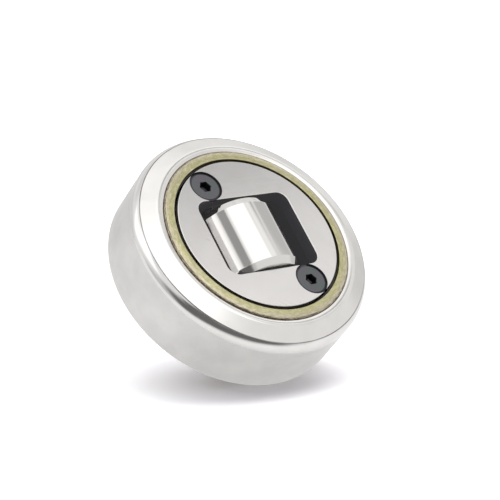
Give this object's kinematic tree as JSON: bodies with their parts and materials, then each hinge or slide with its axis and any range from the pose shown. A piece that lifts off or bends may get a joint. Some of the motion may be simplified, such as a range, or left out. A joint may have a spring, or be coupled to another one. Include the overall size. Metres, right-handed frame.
{
  "type": "combined roller bearing",
  "caption": "Stud-mounted track roller: a wide steel tread ring for radial load, with a side roller in a window of its cover plate for side load.",
  "frame": {"origin": "centre of the stud's free end face, where the part stands", "axes": "+Z along the stud towards the cover plate and the side roller; +Y along the side roller's axis; +X across the side roller"},
  "size_m": [0.0701, 0.07, 0.044],
  "materials": {
    "ring_steel": "turned and fine ground",
    "stud_steel": "turned",
    "plate_steel": "fine ground",
    "polished_steel": "polished bearing steel",
    "shim_steel": "rolled",
    "shield_zinc": "yellow passivated zinc",
    "seal_rubber": "matte",
    "screw_black": "black oxide"
  },
  "bodies": {
    "stud": {"stud": "stud_steel", "guide_ring": "stud_steel", "cover_plate": "plate_steel", "cover_screw_1": "screw_black", "cover_screw_2": "screw_black", "side_axle": "polished_steel", "thrust_washer_1": "shim_steel", "thrust_washer_2": "shim_steel", "lower_shim_1": "shim_steel", "lower_shim_2": "shim_steel", "upper_shim_1": "shim_steel", "upper_shim_2": "shim_steel"},
    "tread": {"outer_ring": "ring_steel", "front_shield": "shield_zinc", "rear_shield": "shield_zinc", "front_seal": "seal_rubber", "rear_seal": "seal_rubber"},
    "main_rollers": {"main_roller_01": "polished_steel", "main_roller_02": "polished_steel", "main_roller_03": "polished_steel", "main_roller_04": "polished_steel", "main_roller_05": "polished_steel", "main_roller_06": "polished_steel", "main_roller_07": "polished_steel", "main_roller_08": "polished_steel", "main_roller_09": "polished_steel", "main_roller_10": "polished_steel", "main_roller_11": "polished_steel", "main_roller_12": "polished_steel", "main_roller_13": "polished_steel", "main_roller_14": "polished_steel", "main_roller_15": "polished_steel", "main_roller_16": "polished_steel", "main_roller_17": "polished_steel", "main_roller_18": "polished_steel", "main_roller_19": "polished_steel", "main_roller_20": "polished_steel", "main_roller_21": "polished_steel", "main_roller_22": "polished_steel", "main_roller_23": "polished_steel", "main_roller_24": "polished_steel", "main_roller_25": "polished_steel", "main_roller_26": "polished_steel"},
    "side_roller": {"side_roller": "polished_steel"},
    "side_needles": {"side_needle_01": "polished_steel", "side_needle_02": "polished_steel", "side_needle_03": "polished_steel", "side_needle_04": "polished_steel", "side_needle_05": "polished_steel", "side_needle_06": "polished_steel", "side_needle_07": "polished_steel", "side_needle_08": "polished_steel", "side_needle_09": "polished_steel", "side_needle_10": "polished_steel", "side_needle_11": "polished_steel", "side_needle_12": "polished_steel", "side_needle_13": "polished_steel"}
  },
  "joints": [
    {"name": "tread_spin", "type": "hinge", "parent": "stud", "child": "tread", "pos_m": [0, 0, 0.02975], "axis": [0, 0, 1], "continuous": true},
    {"name": "main_roller_orbit", "type": "hinge", "parent": "stud", "child": "main_rollers", "pos_m": [0, 0, 0.02975], "axis": [0, 0, 1], "continuous": true},
    {"name": "side_roller_spin", "type": "hinge", "parent": "stud", "child": "side_roller", "pos_m": [0, 0, 0.0307], "axis": [0, 1, 0], "continuous": true},
    {"name": "side_needle_orbit", "type": "hinge", "parent": "stud", "child": "side_needles", "pos_m": [0, 0, 0.0307], "axis": [0, 1, 0], "continuous": true}
  ],
  "couplings": [
    {"joint": "main_roller_orbit", "follows": "tread_spin", "ratio": 0.55969},
    {"joint": "side_needle_orbit", "follows": "side_roller_spin", "ratio": 0.61832}
  ]
}
